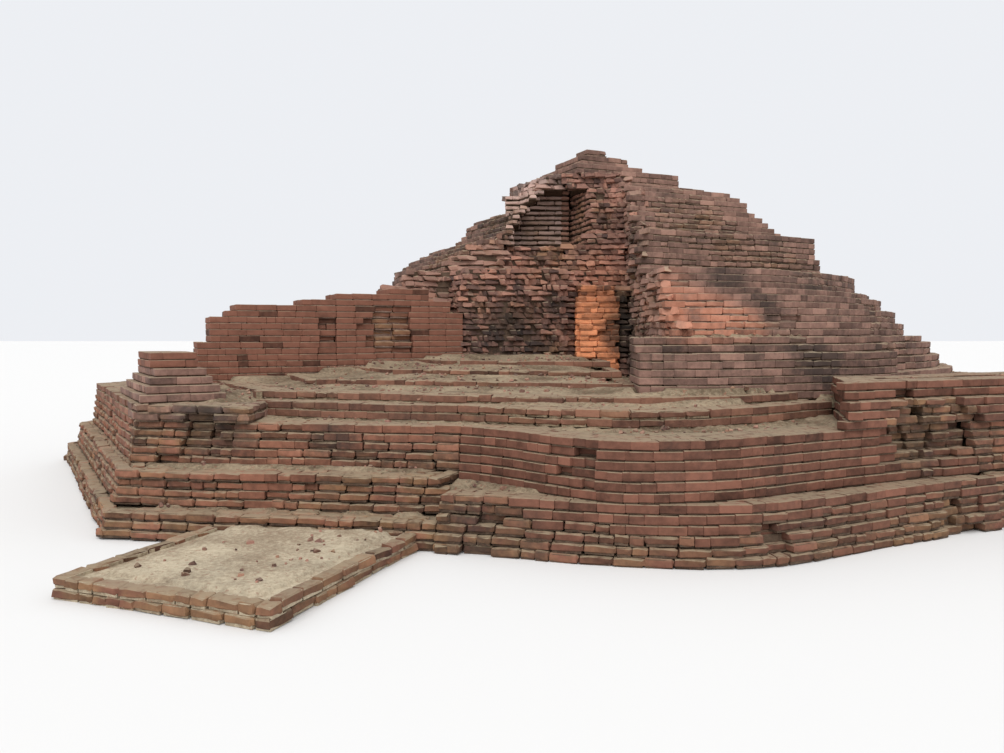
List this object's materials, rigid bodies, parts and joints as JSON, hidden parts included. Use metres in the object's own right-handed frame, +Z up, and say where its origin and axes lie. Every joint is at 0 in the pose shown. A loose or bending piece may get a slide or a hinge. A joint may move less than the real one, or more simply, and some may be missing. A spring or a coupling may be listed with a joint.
{
  "type": "ruined brick stupa",
  "caption": "Ruined round brick stupa on an eight-sided stepped base, its drum open at the front with a corbelled niche, for a landscape or heritage scene.",
  "frame": {"origin": "on level ground, at the axis of the round drum", "axes": "+Z up, -Y towards the open front with the apron slab, +X to the right of that front"},
  "size_m": [13.8, 14.6, 4.248],
  "materials": {
    "old_brick": "weathered brick, rough",
    "stained_brick": "brick blackened by algae, rough",
    "relaid_brick": "newer relaid brick, rough",
    "orange_brick": "smooth worn orange brick",
    "rubble": "broken brick core in earth mortar",
    "dry_earth": "dry earth and brick crumbs"
  },
  "bodies": {
    "root": {"apron_slab": "relaid_brick", "back_left_wall": "old_brick", "back_right_wall": "old_brick", "back_wall": "old_brick", "corner_block": "relaid_brick", "corner_platform": "stained_brick", "corner_steps": "stained_brick", "crown": "stained_brick", "curved_wall_lower": "relaid_brick", "curved_wall_upper": "relaid_brick", "drum_back_lower": "stained_brick", "drum_back_upper": "stained_brick", "drum_east_lower": "stained_brick", "drum_east_upper": "stained_brick", "drum_foot_back": "stained_brick", "drum_foot_back_left": "stained_brick", "drum_foot_back_right": "stained_brick", "drum_foot_front": "stained_brick", "drum_foot_left": "stained_brick", "drum_foot_right": "stained_brick", "drum_west_lower": "stained_brick", "drum_west_upper": "stained_brick", "far_left_wall": "old_brick", "flank_wall_inner": "relaid_brick", "flank_wall_middle": "relaid_brick", "flank_wall_outer": "relaid_brick", "front_right_wall": "old_brick", "left_wall": "old_brick", "niche_back": "stained_brick", "niche_cheek": "stained_brick", "niche_hood": "stained_brick", "repaired_pier": "orange_brick", "right_block": "relaid_brick", "right_wall": "old_brick", "rubble_core_east": "rubble", "rubble_core_west": "rubble", "terrace_core": "dry_earth", "terrace_deck": "dry_earth", "terrace_step_1": "dry_earth", "terrace_step_2": "dry_earth", "terrace_step_3": "dry_earth", "terrace_step_4": "dry_earth", "wing_wall": "old_brick"}
  },
  "joints": []
}
